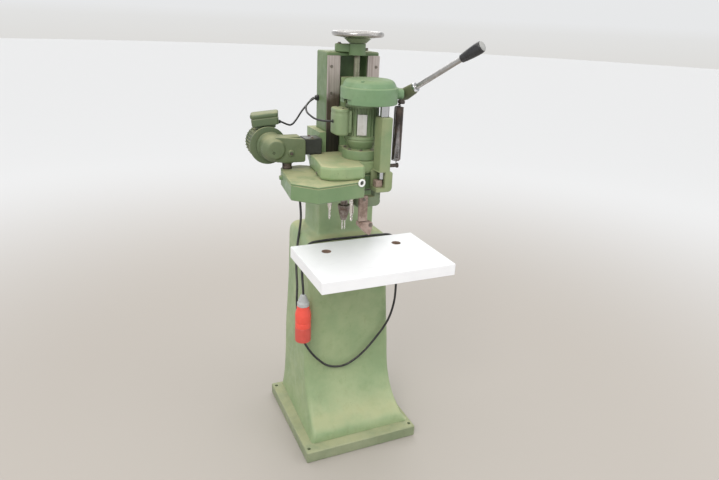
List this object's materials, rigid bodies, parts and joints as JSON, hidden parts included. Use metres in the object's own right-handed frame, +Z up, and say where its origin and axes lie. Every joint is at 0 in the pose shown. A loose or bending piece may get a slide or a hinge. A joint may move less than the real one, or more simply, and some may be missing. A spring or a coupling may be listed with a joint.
{
  "type": "dowel joiner",
  "caption": "Floor-standing pillar dowelling machine: flared pedestal, wooden table, rising head with motor and tool spindles, hand lever feed and top handwheel.",
  "frame": {"origin": "centre of the base plate's underside, on the floor", "axes": "+X to the machine's own left-to-right direction as the operator sees it (the lever side), -Y toward the operator, +Z up"},
  "size_m": [0.6509, 0.66, 1.595],
  "materials": {
    "green_paint": "semi-gloss sage-green machine enamel, worn",
    "dark_green_paint": "dark green enamel",
    "bare_steel": "ground steel, dulled",
    "worn_steel": "steel with surface rust",
    "chrome": "polished",
    "black_plastic": "matte",
    "black_paint": "matte black",
    "grip_plastic": "gloss",
    "rubber": "matte",
    "board": "wood board with a smooth white facing",
    "bronze": "cast bronze",
    "white_plastic": "gloss",
    "plug_grey": "matte",
    "plug_red": "satin"
  },
  "bodies": {
    "stand": {"base_plate": "green_paint", "pedestal": "green_paint", "slide_column": "green_paint", "way_strip_left": "bare_steel", "way_strip_right": "bare_steel", "way_screw_1": "worn_steel", "way_screw_2": "worn_steel", "way_screw_3": "worn_steel", "way_screw_4": "worn_steel", "top_bracket": "green_paint", "table_board": "board", "table_bracket": "green_paint", "column_gland": "black_plastic", "mains_gland": "black_plastic", "mains_cord": "rubber", "plug_gland": "plug_grey", "plug_body": "plug_red"},
    "head": {"head_casting": "green_paint", "bell_casting": "green_paint", "lead_nut": "bronze", "guide_rod": "chrome", "spring_hanger": "bare_steel", "spring_stud_upper": "worn_steel", "spindle_motor": "green_paint", "motor_flange": "green_paint", "spindle_terminal_box": "green_paint", "drive_housing": "green_paint", "housing_lid": "green_paint", "sight_glass": "white_plastic", "spindle_belt": "rubber", "gear_belt": "rubber", "gearbox": "green_paint", "gearmotor": "green_paint", "gearmotor_terminal_box": "green_paint", "gearbox_bracket": "black_paint", "return_spring": "worn_steel", "gearmotor_lead": "rubber", "spindle_motor_lead": "rubber"},
    "lifting_screw": {"lead_screw": "bare_steel", "handwheel_rim": "chrome", "handwheel_hub": "green_paint"},
    "motor_rotor": {"motor_pulley": "bare_steel"},
    "centre_tool": {"centre_spindle": "bare_steel"},
    "right_tool": {"right_drill": "chrome"},
    "left_tool": {"left_drill": "chrome"},
    "gear_output": {"gearbox_output": "worn_steel"},
    "feed": {"feed_slide": "green_paint", "slide_stop_block": "worn_steel", "feed_rack": "bare_steel", "spring_stud_lower": "worn_steel", "arm_carrier": "green_paint", "press_arm": "worn_steel", "arm_tip": "worn_steel"},
    "lever": {"lever_shaft": "bare_steel", "lever_socket": "dark_green_paint", "lever_collar": "chrome", "lever_rod": "bare_steel", "lever_grip": "grip_plastic"}
  },
  "joints": [
    {"name": "head_height", "type": "slide", "parent": "stand", "child": "head", "axis": [0, 0, 1], "range_m": [-0.03, 0.07]},
    {"name": "screw_turn", "type": "hinge", "parent": "stand", "child": "lifting_screw", "pos_m": [0, -0.042, 1.5], "axis": [0, 0, 1], "range_deg": [-2521, 1081]},
    {"name": "motor_spin", "type": "hinge", "parent": "head", "child": "motor_rotor", "pos_m": [-0.006, -0.117, 1.115], "axis": [0, 0, -1], "continuous": true},
    {"name": "centre_spin", "type": "hinge", "parent": "head", "child": "centre_tool", "pos_m": [-0.078, -0.155, 1.09], "axis": [0, 0, -1], "continuous": true},
    {"name": "right_spin", "type": "hinge", "parent": "head", "child": "right_tool", "pos_m": [-0.068, -0.2, 1.09], "axis": [0, 0, -1], "continuous": true},
    {"name": "gearbox_spin", "type": "hinge", "parent": "head", "child": "gear_output", "pos_m": [-0.25, -0.035, 1.09], "axis": [0, 0, -1], "continuous": true},
    {"name": "left_spin", "type": "hinge", "parent": "head", "child": "left_tool", "pos_m": [-0.132, -0.155, 1.09], "axis": [0, 0, -1], "continuous": true},
    {"name": "feed_travel", "type": "slide", "parent": "head", "child": "feed", "axis": [0, 0, -1], "range_m": [0, 0.042], "stiffness_N_per_m": 900, "springref_m": -0.17, "deforming": ["return_spring"]},
    {"name": "lever_turn", "type": "hinge", "parent": "head", "child": "lever", "pos_m": [0.1232, -0.16, 1.398], "axis": [1, 0, 0], "range_deg": [-0.5, 99]}
  ],
  "couplings": [
    {"joint": "screw_turn", "follows": "head_height", "rad_per_m": -628.32},
    {"joint": "centre_spin", "follows": "motor_spin", "ratio": 1.3889},
    {"joint": "right_spin", "follows": "motor_spin", "ratio": -1.0621},
    {"joint": "left_spin", "follows": "gearbox_spin", "ratio": 0.7108},
    {"joint": "lever_turn", "follows": "feed_travel", "rad_per_m": 40.816}
  ]
}
